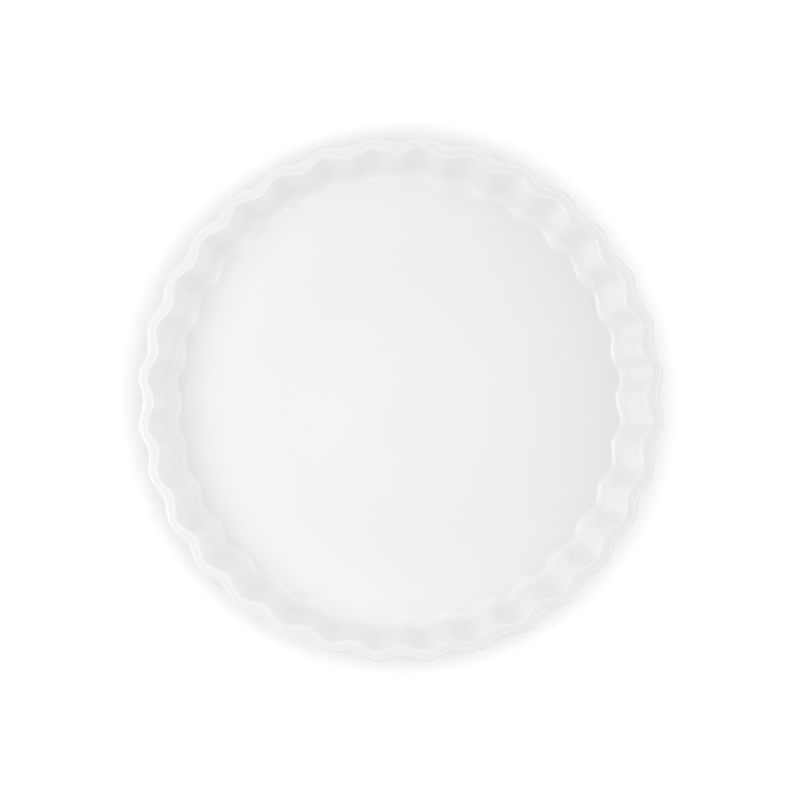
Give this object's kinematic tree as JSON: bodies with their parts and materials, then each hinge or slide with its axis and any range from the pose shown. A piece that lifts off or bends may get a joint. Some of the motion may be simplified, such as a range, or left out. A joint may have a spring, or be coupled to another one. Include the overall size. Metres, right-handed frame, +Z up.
{
  "type": "fluted baking dish",
  "caption": "Round shallow baking dish with a fluted flaring wall, a flat floor and a bare foot ring, glazed white, for tarts, flans and quiches.",
  "frame": {"origin": "middle of the foot ring's bottom face, on the dish's axis", "axes": "+Z up along the dish's axis, from the foot ring to the rim; +X through the hollow of a flute"},
  "size_m": [0.2786, 0.2786, 0.04],
  "materials": {
    "bare_stoneware": "matte",
    "white_glaze": "gloss"
  },
  "bodies": {
    "root": {"stoneware_body": "bare_stoneware", "glaze_coat": "white_glaze", "base_glaze": "white_glaze"}
  },
  "joints": []
}
